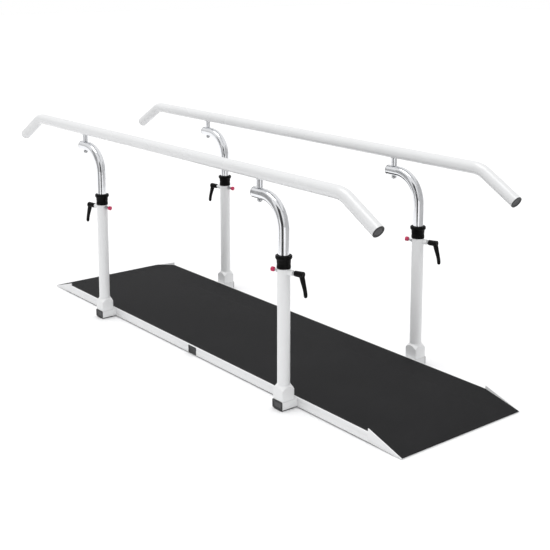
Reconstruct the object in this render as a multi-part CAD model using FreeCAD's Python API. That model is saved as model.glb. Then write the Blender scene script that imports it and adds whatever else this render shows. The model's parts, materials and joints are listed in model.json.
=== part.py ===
import FreeCAD, Part
import math
import os

# Walking parallel bars on a ramped platform, in millimetres, +Z up.
# The long way of the platform is X (front is +X) and the way across is Y (left is +Y).
# The origin is on the floor, under the middle of the middle cross tube.
# Each handrail stands on two posts. A post is a painted upright with a chromed gooseneck
# telescoping in it; the gooseneck also turns in the upright, and the handrail turns on it.

V = FreeCAD.Vector

# ---- platform -----------------------------------------------------------------------
deck_length = 2238.0            # flat part, between the tops of the two ramps
deck_width = 640.0              # over the side rails
ramp_run = 167.5                # each ramp, measured along the floor
ramp_sheet = 3.0
ramp_tip_clearance = 1.0        # the ramp's lower edge stands this far off the floor
ramp_tip_height = 3.0           # top of the ramp sheet at its tip
curb_rise = 13.0                # how far the ramp's cheeks stand above the mat at their peak
curb_tip_height = 5.0
ramp_tab_length = 40.0
mat_thickness = 4.0
board_thickness = 18.0
rail_web = 4.0
rail_floor_gap = 5.0
rail_ledge_width = 26.0
rail_ledge_thickness = 3.0
rail_groove_width = 3.0
rail_groove_depth = 1.5
rail_groove_height = 22.0       # above the rail's lower edge
fit_gap = 0.5                   # between boards, mat and the steel round them

# ---- cross tubes --------------------------------------------------------------------
cross_width = 60.0
cross_height = 35.0
cross_wall = 2.5
cross_corner = 5.0
cap_plate = 3.0
cap_insert = 14.0
cap_insert_clearance = 0.15
foot_pad_thickness = 4.0
foot_pad_length = 60.0
foot_pad_width = 50.0
middle_pad_inset = 70.0         # middle pads, in from the ends of their tube
end_margin = 2.5                # post socket to the outer face of the cross tube's cap

# ---- posts --------------------------------------------------------------------------
post_spacing_long = 1384.0      # front post axis to rear post axis
post_gap = 12.5                 # side rail to post socket
socket_wall = 4.9               # at the middle of each flat
socket_straight = 40.0
socket_taper = 18.0
socket_lip = 2.0
socket_clearance = 0.1
gooseneck_od = 44.0
gooseneck_wall = 3.5
slide_clearance = 0.3           # gooseneck in the upright, on the radius
upright_wall = 2.7
upright_length = 541.0
fitting_turn = 15.0             # lever and pin axis, turned from X about the post, degrees

# ---- collar and the bush inside it ----------------------------------------------------
collar_skirt = 20.0
collar_skirt_wall = 1.9
collar_skirt_straight = 6.7     # before the skirt starts to widen
collar_clearance = 0.1
bush_height = 26.0
bush_wall = 3.9
bush_running = 0.1              # gooseneck in the bush, on the radius
bush_clearance = 0.2            # bush in the collar
collar_lip = 5.6
collar_lip_clearance = 0.4
collar_flare = 4.2              # flange beyond the collar's body
collar_flange = 10.0
collar_chamfer = 3.0
collar_body_wall = 2.4

# ---- clamp lever ------------------------------------------------------------------------
fitting_drop = 12.0             # lever and pin axis, below the collar's lower edge
boss_radius = 11.0
boss_reach = 20.0               # out from the upright's surface
screw_radius = 6.0
screw_clearance = 0.1
pad_radius = 5.0
pad_clearance = 0.3
pad_length = 4.5
seat_radius = 8.0
seat_length = 6.5
spline_radius = 7.0
spline_length = 18.0
spline_clearance = 0.2
hub_radius = 11.5
hub_end_radius = 12.5
hub_length = 40.0
hub_bore_depth = 22.0
lever_reach = 88.0              # lever axis to the end of the arm
lever_tilt = 16.0               # arm, leaning away from the post, degrees
lever_root_radius = 9.0
lever_end_radius = 6.5

# ---- index pin ----------------------------------------------------------------------------
pin_radius = 3.0
pin_clearance = 0.1
pin_travel = 3.5                # pushed in from its parked place
pin_parked_gap = 1.5            # nose to the gooseneck's wall, parked
sleeve_radius = 7.0
sleeve_reach = 11.5             # out from the upright's surface
sleeve_flange_radius = 9.5
sleeve_flange = 5.0
knob_gap = 5.0                  # knob to the sleeve, parked
knob_radius = 9.5
knob_neck_radius = 6.5
knob_neck = 4.0
knob_length = 17.0
knob_edge = 1.5

# ---- gooseneck --------------------------------------------------------------------------
gooseneck_rise = 93.0           # straight length shown above the collar
gooseneck_bend = 120.0          # centre-line radius
gooseneck_reach = 148.0         # post axis to handrail pivot axis
gooseneck_tail = 34.0           # pivot axis to the end of the tube
insertion = 400.0               # below the top of the collar
plug_flange = 3.0
plug_insert = 18.0
plug_clearance = 0.1
pivot_sleeve_radius = 10.0
height_step = 25.0
steps_down = 2
steps_up = 6
groove_depth = 2.0
groove_width = 7.0

# ---- handrail -------------------------------------------------------------------------------
handrail_od = 50.0
handrail_wall = 2.0
handrail_length = 2700.0        # over the end plugs, along X
handrail_slope = 30.0           # ends turned down, degrees
handrail_drop_run = 180.0       # bend to end, along X
handrail_bend = 120.0           # centre-line radius
stub_radius = 13.0
stub_length = 33.0              # gooseneck to the underside of the handrail
stub_gap = 0.3
stub_seat_gap = 0.05
stud_set = 16.5                 # stud, welded this far up inside the spacer
stud_radius = 6.0
pivot_running = 0.05            # stud in the front gooseneck, on the radius
open_pivot_clearance = 0.5      # stud in the rear gooseneck, on the radius
nut_flats = 19.0
nut_height = 9.0
nut_dome_radius = 8.0
nut_crown_radius = 4.0
nut_shoulder = 1.3              # straight part of the dome
nut_cover = 4.0                 # closed end of the nut, beyond the stud

# ---- wood screws ------------------------------------------------------------------------------
wood_screw_radius = 2.5
wood_screw_head_radius = 5.0
wood_screw_head = 3.0
wood_screw_bite = 12.0
board_screw_inset = 60.0        # in from each end of a board

# ---- sizes that follow from the ones above ----------------------------------------------------
cross_bottom = foot_pad_thickness
cross_top = cross_bottom + cross_height
mat_top = cross_top + mat_thickness
board_bottom = cross_top - board_thickness
ledge_bottom = board_bottom - rail_ledge_thickness
tab_bottom = ledge_bottom - ramp_sheet
half_deck = deck_length / 2.0
half_width = deck_width / 2.0
mat_half_width = half_width - rail_web - fit_gap
ramp_end = half_deck + ramp_run
gooseneck_r = gooseneck_od / 2.0
upright_bore = gooseneck_r + slide_clearance
upright_r = upright_bore + upright_wall
socket_half = upright_r + socket_clearance + socket_wall
post_x = post_spacing_long / 2.0
post_y = half_width + post_gap + socket_half
cross_half = post_y + socket_half + end_margin
upright_top = cross_top + upright_length
bush_r = gooseneck_r + bush_running + bush_wall
collar_bottom = upright_top - collar_skirt
cavity_top = upright_top + bush_height + 2.0 * bush_clearance
collar_top = cavity_top + collar_lip
collar_body_r = bush_r + bush_clearance + collar_body_wall
collar_flange_r = collar_body_r + collar_flare
fitting_z = collar_bottom - fitting_drop
gooseneck_z = collar_top + gooseneck_rise + gooseneck_bend
gooseneck_foot = collar_top - insertion
gooseneck_end = gooseneck_reach + gooseneck_tail
handrail_r = handrail_od / 2.0
handrail_z = gooseneck_z + gooseneck_r + stub_length + handrail_r
handrail_half = handrail_length / 2.0
handrail_middle = -gooseneck_reach
nut_top = gooseneck_z - gooseneck_r - stub_gap
stud_foot = nut_top - nut_height
boss_end = upright_r + boss_reach
seat_start = boss_end + fit_gap
hub_start = seat_start + seat_length + spline_clearance
sleeve_end = upright_r + sleeve_reach
knob_start = sleeve_end + knob_gap

ENDS = {"front": 1, "rear": -1}
SIDES = {"left": 1, "right": -1}
X_AXIS = V(1, 0, 0)
Y_AXIS = V(0, 1, 0)
Z_AXIS = V(0, 0, 1)

parts = {}


def box(x0, x1, y0, y1, z0, z1):
    return Part.makeBox(x1 - x0, y1 - y0, z1 - z0, V(x0, y0, z0))


def rod(radius, x0, x1, z):
    """A round bar along X in the plane Y = 0, at height z."""
    return Part.makeCylinder(radius, x1 - x0, V(x0, 0, z), X_AXIS)


def upright_rod(radius, z0, z1, x=0.0, y=0.0):
    return Part.makeCylinder(radius, z1 - z0, V(x, y, z0), Z_AXIS)


def turned(profile, centre=V(0, 0, 0)):
    """Turn a closed outline of (radius, height) points about the vertical through centre."""
    points = [V(r, 0, z) + centre for r, z in profile]
    face = Part.Face(Part.makePolygon(points + [points[0]]))
    return face.revolve(centre, Z_AXIS, 360)


def prism(profile, y0, y1):
    """A closed outline of (x, z) points drawn out along Y."""
    points = [V(x, y0, z) for x, z in profile]
    face = Part.Face(Part.makePolygon(points + [points[0]]))
    return face.extrude(V(0, y1 - y0, 0))


def rounded_path(points, radius):
    """Straight runs through the points, with a tangent arc at each corner."""
    edges = []
    start = points[0]
    for before, corner, after in zip(points, points[1:], points[2:]):
        back = (before - corner).normalize()
        ahead = (after - corner).normalize()
        half = back.getAngle(ahead) / 2.0
        tangent = radius / math.tan(half)
        bisector = (back + ahead).normalize()
        centre = corner + bisector * (radius / math.sin(half))
        arc_in = corner + back * tangent
        arc_out = corner + ahead * tangent
        edges.append(Part.LineSegment(start, arc_in).toShape())
        edges.append(Part.Arc(arc_in, centre - bisector * radius, arc_out).toShape())
        start = arc_out
    edges.append(Part.LineSegment(start, points[-1]).toShape())
    return Part.Wire(edges)


def swept(points, bend, radius):
    """A solid round bar along the rounded path through the points."""
    path = rounded_path(points, bend)
    ring = Part.Wire([Part.makeCircle(radius, points[0], points[1] - points[0])])
    return path.makePipeShell([ring], True, True)


def bent_tube(points, bend, radius, wall):
    return swept(points, bend, radius).cut(swept(points, bend, radius - wall))


def hexagon(flats, z0, z1):
    corner = flats / math.sqrt(3)
    points = [V(corner * math.cos(math.radians(a)), corner * math.sin(math.radians(a)), z0)
              for a in range(0, 361, 60)]
    return Part.Face(Part.makePolygon(points)).extrude(V(0, 0, z1 - z0))


def at_post(shape, end, side, turn=0.0):
    """Copy a shape made round the Z axis to a post, turned about that post."""
    placed = shape.copy()
    placed.rotate(V(0, 0, 0), Z_AXIS, turn)
    placed.translate(V(ENDS[end] * post_x, SIDES[side] * post_y, 0))
    return placed


def fitting_angle(end):
    """Levers point to the nearer end of the platform, pins to its middle."""
    return fitting_turn if end == "front" else fitting_turn + 180.0


# ---- platform ---------------------------------------------------------------------------------
def screw_places(inner, outer, side):
    """Two screws near the ends of the board that lies between two X places."""
    y = SIDES[side] * (half_width - rail_web - rail_ledge_width / 2.0)
    return [(inner + board_screw_inset, y), (outer - board_screw_inset, y)]


def board_spans():
    """X spans of the boards in front of the middle: the inner board and the outer one."""
    inner = (cross_width / 2.0 + fit_gap, post_x - cross_width / 2.0 - fit_gap)
    outer = (post_x + cross_width / 2.0 + fit_gap, half_deck - 2.0 * fit_gap)
    return {"inner": inner, "outer": outer}


def board_screws():
    places = []
    for low, high in board_spans().values():
        for side in SIDES:
            for x, y in screw_places(low, high, side):
                places.append((x, y))
                places.append((-x, y))
    return places


def ramp_screw_places():
    y = half_width - rail_web - rail_ledge_width / 2.0
    x = half_deck - ramp_tab_length / 2.0
    return [(end * x, side * y) for end in ENDS.values() for side in SIDES.values()]


def wood_screw(x, y, under):
    """A pan-head screw driven up from below, its head against the height given."""
    shank = upright_rod(wood_screw_radius, under, board_bottom + wood_screw_bite, x, y)
    head = upright_rod(wood_screw_head_radius, under - wood_screw_head, under, x, y)
    return shank.fuse(head).removeSplitter()


def screw_holes(places):
    """Clearance holes through a ledge or a tab, and the bite in the board above."""
    high = board_bottom + wood_screw_bite
    return [upright_rod(wood_screw_radius, tab_bottom, high, x, y) for x, y in places]


all_screws = board_screws() + ramp_screw_places()


def mat():
    """One rubber sheet laid over the boards and down both ramps."""
    top = [(-ramp_end, ramp_tip_height + mat_thickness), (-half_deck, mat_top),
           (half_deck, mat_top), (ramp_end, ramp_tip_height + mat_thickness)]
    under = [(x, z - mat_thickness) for x, z in reversed(top)]
    return prism(top + under, -mat_half_width, mat_half_width)


def boards(low, high):
    plank = [box(low, high, -mat_half_width, mat_half_width, board_bottom, cross_top),
             box(-high, -low, -mat_half_width, mat_half_width, board_bottom, cross_top)]
    holes = screw_holes(all_screws)
    return Part.makeCompound([p.cut(holes) for p in plank])


def side_rail(side):
    """A pressed edge rail: upright web, grooved outside, with a ledge for the boards."""
    outer = half_width
    inner = outer - rail_web
    web = box(-half_deck, half_deck, inner, outer, rail_floor_gap, mat_top)
    ledge = box(-half_deck, half_deck, inner - rail_ledge_width, inner, ledge_bottom, board_bottom)
    groove_z = rail_floor_gap + rail_groove_height
    groove = box(-half_deck, half_deck, outer - rail_groove_depth, outer,
                 groove_z, groove_z + rail_groove_width)
    half_slot = cross_width / 2.0
    slots = [box(x - half_slot, x + half_slot, inner - rail_ledge_width, outer, 0, cross_top)
             for x in (-post_x, 0, post_x)]
    rail = web.fuse(ledge).cut([groove] + slots)
    if SIDES[side] < 0:
        rail = rail.mirror(V(0, 0, 0), Y_AXIS)
    return rail.cut(screw_holes(all_screws))


def ramp():
    """The front ramp: a sloping sheet with a cheek each side and a flange under the deck's end."""
    start = half_deck
    sheet = prism([(start, cross_top), (ramp_end, ramp_tip_height),
                   (ramp_end, ramp_tip_clearance), (start, cross_top - ramp_sheet)],
                  -half_width, half_width)
    cheek_outline = [(start, rail_floor_gap), (start, mat_top + curb_rise),
                     (ramp_end, curb_tip_height), (ramp_end, ramp_tip_clearance)]
    cheeks = [prism(cheek_outline, half_width - rail_web, half_width),
              prism(cheek_outline, -half_width, rail_web - half_width)]
    flange = box(start, start + ramp_sheet, -half_width, half_width,
                 rail_floor_gap, cross_top - ramp_sheet)
    tab_outer = half_width - rail_web
    tab_inner = tab_outer - rail_ledge_width
    tab = box(start - ramp_tab_length, start, tab_inner, tab_outer, tab_bottom, ledge_bottom)
    tabs = [tab, tab.mirror(V(0, 0, 0), Y_AXIS)]
    whole = sheet.fuse(cheeks + [flange] + tabs)
    return whole.cut(screw_holes(ramp_screw_places())).removeSplitter()


def cross_tube(x, half_length):
    end = half_length - cap_plate
    outer = rounded_bar(cross_width, cross_height, cross_corner, end)
    bore_corner = cross_corner - cross_wall
    inner = rounded_bar(cross_width - 2 * cross_wall, cross_height - 2 * cross_wall, bore_corner, end)
    tube = outer.cut(inner)
    tube.translate(V(x, 0, cross_bottom + cross_height / 2.0))
    return tube


def rounded_bar(width, height, corner, half_length):
    """A rectangular bar along Y, centred on the origin, with its long edges rounded."""
    bar = box(-width / 2.0, width / 2.0, -half_length, half_length, -height / 2.0, height / 2.0)
    long_edges = [e for e in bar.Edges if e.BoundBox.YLength > half_length]
    return bar.makeFillet(corner, long_edges)


def tube_cap(x, half_length, side):
    """A push-in end cap: a plate over the tube's end and a block inside it."""
    inset = cross_wall + cap_insert_clearance
    plate = rounded_bar(cross_width, cross_height, cross_corner, cap_plate / 2.0)
    plate.translate(V(0, half_length - cap_plate / 2.0, 0))
    block = rounded_bar(cross_width - 2 * inset, cross_height - 2 * inset,
                        cross_corner - cross_wall, cap_insert / 2.0)
    block.translate(V(0, half_length - cap_plate - cap_insert / 2.0, 0))
    cap = plate.fuse(block)
    cap.translate(V(x, 0, cross_bottom + cross_height / 2.0))
    if side < 0:
        cap = cap.mirror(V(0, 0, 0), Y_AXIS)
    return cap


def foot_pad(x, y):
    return box(x - foot_pad_width / 2.0, x + foot_pad_width / 2.0,
               y - foot_pad_length / 2.0, y + foot_pad_length / 2.0, 0, foot_pad_thickness)


# ---- post, built round the Z axis with its lever towards +X -----------------------------------
def post_socket():
    """A square socket on the cross tube, its corners turned off to a round lip."""
    half = socket_half
    shoulder = cross_top + socket_straight
    top = shoulder + socket_taper
    lip_r = upright_r + socket_clearance + socket_lip
    block = box(-half, half, -half, half, cross_top, top)
    corner_r = half * math.sqrt(2)
    cone = Part.makeCone(corner_r, lip_r, socket_taper, V(0, 0, shoulder), Z_AXIS)
    envelope = upright_rod(corner_r, cross_top, shoulder).fuse(cone)
    bore = upright_rod(upright_r + socket_clearance, cross_top, top)
    return block.common(envelope).cut(bore).removeSplitter()


def upright():
    tube = upright_rod(upright_r, cross_top, upright_top)
    boss = rod(boss_radius, 0, boss_end, fitting_z)
    bore = upright_rod(upright_bore, cross_top, upright_top)
    screw_hole = rod(screw_radius + screw_clearance, 0, boss_end, fitting_z)
    sleeve_hole = rod(sleeve_radius, -upright_r, 0, fitting_z)
    return tube.fuse(boss).cut([bore, screw_hole, sleeve_hole]).removeSplitter()


def collar():
    """A moulded guide collar: skirt over the upright, flared flange, lip over the bush."""
    skirt_in = upright_r + collar_clearance
    cavity_r = bush_r + bush_clearance
    flange_low = collar_top - collar_flange - collar_chamfer
    outline = [
        (skirt_in, collar_bottom),
        (skirt_in + collar_skirt_wall, collar_bottom),
        (skirt_in + collar_skirt_wall, collar_bottom + collar_skirt_straight),
        (collar_body_r, upright_top),
        (collar_body_r, flange_low - collar_flare),
        (collar_flange_r, flange_low),
        (collar_flange_r, collar_top - collar_chamfer),
        (collar_flange_r - collar_chamfer, collar_top),
        (gooseneck_r + collar_lip_clearance, collar_top),
        (gooseneck_r + collar_lip_clearance, cavity_top),
        (cavity_r, cavity_top),
        (cavity_r, upright_top),
        (skirt_in, upright_top),
    ]
    return turned(outline)


def guide_bush():
    """A plain plastic bush that sits on the upright's end and turns with the gooseneck."""
    low = upright_top + bush_clearance
    ring = upright_rod(bush_r, low, low + bush_height)
    return ring.cut(upright_rod(gooseneck_r + bush_running, low, low + bush_height))


def clamp_pad():
    start = gooseneck_r + pad_clearance
    return rod(pad_radius, start, start + pad_length, fitting_z)


def lever_screw():
    """The lever's screw, the seat that bears on the boss, and the spline inside the handle."""
    start = gooseneck_r + 2.0 * pad_clearance + pad_length
    shank = rod(screw_radius, start, seat_start, fitting_z)
    seat = rod(seat_radius, seat_start, seat_start + seat_length, fitting_z)
    spline_from = seat_start + seat_length
    spline = rod(spline_radius, spline_from, spline_from + spline_length, fitting_z)
    return shank.fuse([seat, spline]).removeSplitter()


def lever_handle():
    hub = Part.makeCone(hub_radius, hub_end_radius, hub_length, V(hub_start, 0, fitting_z), X_AXIS)
    tilt = math.radians(lever_tilt)
    root = V(hub_start + hub_length - lever_root_radius, 0, fitting_z)
    down = V(math.sin(tilt), 0, -math.cos(tilt))
    arm_length = lever_reach / math.cos(tilt) - lever_end_radius
    arm = Part.makeCone(lever_root_radius, lever_end_radius, arm_length, root, down)
    tip = Part.makeSphere(lever_end_radius, root + down * arm_length)
    bore = rod(spline_radius + spline_clearance, hub_start, hub_start + hub_bore_depth, fitting_z)
    return hub.fuse([arm, tip]).removeSplitter().cut(bore)


def plunger_sleeve():
    """The index pin's guide, screwed into the upright on the side away from the lever."""
    barrel = rod(sleeve_radius, -sleeve_end, -upright_bore, fitting_z)
    flange = rod(sleeve_flange_radius, -upright_r - sleeve_flange, -upright_r, fitting_z)
    bore = rod(pin_radius + pin_clearance, -sleeve_end, 0, fitting_z)
    room = upright_rod(upright_bore, fitting_z - boss_radius, fitting_z + boss_radius)
    seat = upright_rod(upright_r, fitting_z - boss_radius, fitting_z + boss_radius)
    return barrel.fuse(flange.cut(seat)).cut([bore, room]).removeSplitter()


def index_pin():
    nose = gooseneck_r + pin_parked_gap
    pin = rod(pin_radius, -knob_start - knob_neck, -nose, fitting_z)
    neck = rod(knob_neck_radius, -knob_start - knob_neck, -knob_start, fitting_z)
    head = rod(knob_radius, -knob_start - knob_length, -knob_start - knob_neck, fitting_z)
    rims = [e for e in head.Edges if e.isClosed()]
    head = head.makeChamfer(knob_edge, rims)
    return pin.fuse([neck, head]).removeSplitter()


# ---- gooseneck, built round the Z axis with its arm towards -X --------------------------------
def gooseneck(end):
    """A bent tube with a ring groove at each height stop and a sleeve for the handrail's stud."""
    tube_end = gooseneck_end - plug_flange
    points = [V(0, 0, gooseneck_foot), V(0, 0, gooseneck_z), V(-tube_end, 0, gooseneck_z)]
    tube = bent_tube(points, gooseneck_bend, gooseneck_r, gooseneck_wall)
    low = gooseneck_z - gooseneck_r
    high = gooseneck_z + gooseneck_r
    solid = swept(points, gooseneck_bend, gooseneck_r)
    sleeve = upright_rod(pivot_sleeve_radius, low, high, -gooseneck_reach).common(solid)
    clearance = pivot_running if end == "front" else open_pivot_clearance
    bore = upright_rod(stud_radius + clearance, low, high, -gooseneck_reach)
    rings = []
    for step in range(-steps_down, steps_up + 1):
        z = fitting_z - step * height_step
        ring = upright_rod(gooseneck_od, z - groove_width / 2.0, z + groove_width / 2.0)
        core = upright_rod(gooseneck_r - groove_depth, z - groove_width, z + groove_width)
        rings.append(ring.cut(core))
    return tube.fuse(sleeve).cut([bore] + rings)


def gooseneck_plug():
    flange_from = -gooseneck_end
    flange = rod(gooseneck_r, flange_from, flange_from + plug_flange, gooseneck_z)
    insert_r = gooseneck_r - gooseneck_wall - plug_clearance
    insert_to = flange_from + plug_flange + plug_insert
    insert = rod(insert_r, flange_from + plug_flange, insert_to, gooseneck_z)
    return flange.fuse(insert)


# ---- handrail, built on Y = 0 and centred over its two pivots ---------------------------------
slope = math.radians(handrail_slope)
end_drop = handrail_drop_run * math.tan(slope)
rail_bend_x = handrail_half - handrail_drop_run
down_slope = V(math.cos(slope), 0, -math.sin(slope))


def handrail_end(back):
    """The right-hand end of the centre line, or a place that far back along the slope."""
    return V(handrail_half, 0, handrail_z - end_drop) - down_slope * back


def handrail_tube():
    last = handrail_end(plug_flange)
    first = V(-last.x, 0, last.z)
    points = [first, V(-rail_bend_x, 0, handrail_z), V(rail_bend_x, 0, handrail_z), last]
    return bent_tube(points, handrail_bend, handrail_r, handrail_wall)


def handrail_plug():
    base = handrail_end(plug_flange)
    flange = Part.makeCylinder(handrail_r, plug_flange, base, down_slope)
    insert_r = handrail_r - handrail_wall - plug_clearance
    insert = Part.makeCylinder(insert_r, plug_insert, base, down_slope * -1)
    return flange.fuse(insert)


def pivot_stud():
    """A spacer welded under the handrail, with the stud that drops through the gooseneck."""
    spacer_foot = gooseneck_z + gooseneck_r + stub_gap
    spacer = upright_rod(stub_radius, spacer_foot, handrail_z)
    saddle = rod(handrail_r + stub_seat_gap, -handrail_r, handrail_r, handrail_z)
    stud = upright_rod(stud_radius, stud_foot, spacer_foot + stud_set)
    return spacer.cut(saddle).fuse(stud).removeSplitter()


def pivot_nut():
    """A domed nut, closed below, with a plain bore for the stud."""
    flats_low = nut_top - nut_height
    body = hexagon(nut_flats, flats_low, nut_top)
    crown = flats_low - nut_cover
    dome = turned([(0, crown), (nut_crown_radius, crown), (nut_dome_radius, flats_low - nut_shoulder),
                   (nut_dome_radius, flats_low), (0, flats_low)])
    return body.fuse(dome).cut(upright_rod(stud_radius, flats_low, nut_top)).removeSplitter()


def on_handrail(shape, side):
    placed = shape.copy()
    placed.translate(V(handrail_middle, SIDES[side] * post_y, 0))
    return placed


def pair_on_handrail(shape, side):
    """The same piece at both pivots of one handrail."""
    pair = []
    for end in ENDS.values():
        piece = shape.copy()
        piece.translate(V(end * post_x, 0, 0))
        pair.append(on_handrail(piece, side))
    return Part.makeCompound(pair)


# ---- every piece in its place -----------------------------------------------------------------
parts["walking_mat"] = mat()
for place, (low, high) in board_spans().items():
    parts["deck_boards_" + place] = boards(low, high)
for side in SIDES:
    parts["side_rail_" + side] = side_rail(side)
front_ramp = ramp()
parts["ramp_front"] = front_ramp
parts["ramp_rear"] = front_ramp.mirror(V(0, 0, 0), X_AXIS)
parts["board_screws"] = Part.makeCompound([wood_screw(x, y, ledge_bottom) for x, y in board_screws()])
parts["ramp_screws"] = Part.makeCompound([wood_screw(x, y, tab_bottom) for x, y in ramp_screw_places()])

cross_tubes = {"front": (post_x, cross_half), "middle": (0, half_width), "rear": (-post_x, cross_half)}
caps = []
pads = []
for name, (x, half_length) in cross_tubes.items():
    parts["cross_tube_" + name] = cross_tube(x, half_length)
    pad_y = middle_pad_inset if name == "middle" else foot_pad_length / 2.0 + cap_plate
    for side in SIDES.values():
        caps.append(tube_cap(x, half_length, side))
        pads.append(foot_pad(x, side * (half_length - pad_y)))
pads.append(foot_pad(0, 0))
parts["cross_tube_caps"] = Part.makeCompound(caps)
parts["foot_pads"] = Part.makeCompound(pads)

clamp_pads = []
plunger_sleeves = []
for end in ENDS:
    turn = fitting_angle(end)
    for side in SIDES:
        post = end + "_" + side
        parts["post_socket_" + post] = at_post(post_socket(), end, side)
        parts["upright_" + post] = at_post(upright(), end, side, turn)
        parts["collar_" + post] = at_post(collar(), end, side)
        parts["guide_bush_" + post] = at_post(guide_bush(), end, side)
        parts["gooseneck_" + post] = at_post(gooseneck(end), end, side)
        parts["gooseneck_plug_" + post] = at_post(gooseneck_plug(), end, side)
        parts["lever_screw_" + post] = at_post(lever_screw(), end, side, turn)
        parts["lever_handle_" + post] = at_post(lever_handle(), end, side, turn)
        parts["index_pin_" + post] = at_post(index_pin(), end, side, turn)
        clamp_pads.append(at_post(clamp_pad(), end, side, turn))
        plunger_sleeves.append(at_post(plunger_sleeve(), end, side, turn))
parts["clamp_pads"] = Part.makeCompound(clamp_pads)
parts["plunger_sleeves"] = Part.makeCompound(plunger_sleeves)

for side in SIDES:
    front_plug = handrail_plug()
    rear_plug = front_plug.mirror(V(0, 0, 0), X_AXIS)
    parts["handrail_" + side] = on_handrail(handrail_tube(), side)
    parts["handrail_plugs_" + side] = on_handrail(Part.makeCompound([front_plug, rear_plug]), side)
    parts["pivot_studs_" + side] = pair_on_handrail(pivot_stud(), side)
    parts["pivot_nuts_" + side] = pair_on_handrail(pivot_nut(), side)

os.makedirs("parts", exist_ok=True)
for name, shape in parts.items():
    if not shape.isValid():
        raise ValueError(name + " is not a valid shape")
    shape.exportStep("parts/" + name + ".step")
    print(name, len(shape.Solids), round(shape.Volume / 1000.0, 1), "cm3")
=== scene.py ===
import json
import math
import bmesh
import bpy
from mathutils import Matrix, Vector


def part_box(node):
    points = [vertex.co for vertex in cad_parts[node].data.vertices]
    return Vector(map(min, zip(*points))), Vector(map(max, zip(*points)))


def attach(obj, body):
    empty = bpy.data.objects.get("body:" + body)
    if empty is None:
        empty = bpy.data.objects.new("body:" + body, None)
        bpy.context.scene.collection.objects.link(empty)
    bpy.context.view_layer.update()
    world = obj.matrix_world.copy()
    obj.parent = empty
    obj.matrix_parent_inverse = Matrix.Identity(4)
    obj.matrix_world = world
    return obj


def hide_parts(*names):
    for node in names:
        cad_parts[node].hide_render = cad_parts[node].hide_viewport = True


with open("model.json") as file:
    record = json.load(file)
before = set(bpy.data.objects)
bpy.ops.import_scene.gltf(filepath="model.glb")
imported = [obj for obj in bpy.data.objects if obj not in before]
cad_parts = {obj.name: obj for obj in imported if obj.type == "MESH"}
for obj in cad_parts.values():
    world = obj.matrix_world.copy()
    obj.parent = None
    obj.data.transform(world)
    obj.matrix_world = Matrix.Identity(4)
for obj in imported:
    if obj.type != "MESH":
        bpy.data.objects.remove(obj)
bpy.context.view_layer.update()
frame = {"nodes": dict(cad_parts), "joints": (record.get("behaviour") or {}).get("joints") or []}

# ---- Studio ----------------------------------------------------------------------------
# A pale floor in a white room, one wide lamp, and screens for the chrome to mirror. The lens
# looks down from the right of the front ramp; its shift keeps the posts nearly upright.
camera_place = (3.7073, -2.8034, 1.6911)
camera_pitch = math.radians(9.38)
camera_heading = math.radians(51.50)
bpy.ops.object.select_all(action="DESELECT")
bpy.ops.object.camera_add(location=camera_place,
                          rotation=(math.pi / 2 - camera_pitch, 0, camera_heading))
camera = bpy.context.object
camera.data.sensor_width = 36
camera.data.lens = 69.36
camera.data.shift_y = -0.245
camera.data.clip_end = 60
bpy.context.scene.camera = camera
bpy.context.scene.view_settings.view_transform = "Standard"


class Field:
    """One socket of a finish. Arithmetic on it adds the Math nodes that work it out."""

    def __init__(self, tree, socket):
        self.tree = tree
        self.socket = socket

    def node(self, kind, settings, inputs, output=0):
        """Adds a node: its settings first, then a value or a link for each of its sockets."""
        made = self.tree.nodes.new(kind)
        for name, value in settings.items():
            if name == "stops":
                for spare in range(len(value) - len(made.color_ramp.elements)):
                    made.color_ramp.elements.new(0.5)
                for stop, (place, colour) in zip(made.color_ramp.elements, value):
                    stop.position = place
                    stop.color = (*colour, 1)
            else:
                setattr(made, name, value)
        for name, value in inputs.items():
            if isinstance(value, Field):
                self.tree.links.new(value.socket, made.inputs[name])
            else:
                made.inputs[name].default_value = value
        return Field(self.tree, made.outputs[output])

    def sum(self, operation, first, second=0.0):
        return self.node("ShaderNodeMath", {"operation": operation}, {0: first, 1: second})

    def __add__(self, other):
        return self.sum("ADD", self, other)

    def __sub__(self, other):
        return self.sum("SUBTRACT", self, other)

    def __rsub__(self, other):
        return self.sum("SUBTRACT", other, self)

    def __mul__(self, other):
        return self.sum("MULTIPLY", self, other)

    def __gt__(self, other):
        return self.sum("GREATER_THAN", self, other)

    __radd__ = __add__
    __rmul__ = __mul__

    def stretched(self, x, y, z):
        """These coordinates, scaled along each axis."""
        return self.node("ShaderNodeMapping", {}, {"Vector": self, "Scale": (x, y, z)})

    def noise(self, scale, detail=3.0, roughness=0.5):
        """Cloudy noise from 0 to 1 over these coordinates."""
        inputs = {"Vector": self, "Scale": scale, "Detail": detail, "Roughness": roughness}
        return self.node("ShaderNodeTexNoise", {}, inputs)

    def ramp(self, *stops):
        """Colours for this value, as (place, colour) stops."""
        return self.node("ShaderNodeValToRGB", {"stops": stops}, {"Fac": self})

    def spread(self, low, high):
        """This value, with 0 to 1 mapped to low to high and kept between them."""
        return self.node("ShaderNodeMapRange", {}, {"Value": self, "To Min": low, "To Max": high})

    def part(self, low, high):
        """This value, with low to high mapped to 0 to 1 and kept between them."""
        return self.node("ShaderNodeMapRange", {}, {"Value": self, "From Min": low, "From Max": high})

    def height(self):
        return self.node("ShaderNodeSeparateXYZ", {}, {"Vector": self}, "Z")


def new_finish(name, **constants):
    """A finish with numbers set on the shader's own sockets, and the coordinates to vary it by."""
    material = bpy.data.materials.new(name)
    material.use_nodes = True
    tree = material.node_tree
    surface = tree.nodes["Principled BSDF"]
    for socket, value in constants.items():
        surface.inputs[socket.replace("_", " ")].default_value = value
    where = tree.nodes.new("ShaderNodeTexCoord")
    return material, Field(tree, where.outputs["Object"])


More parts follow.
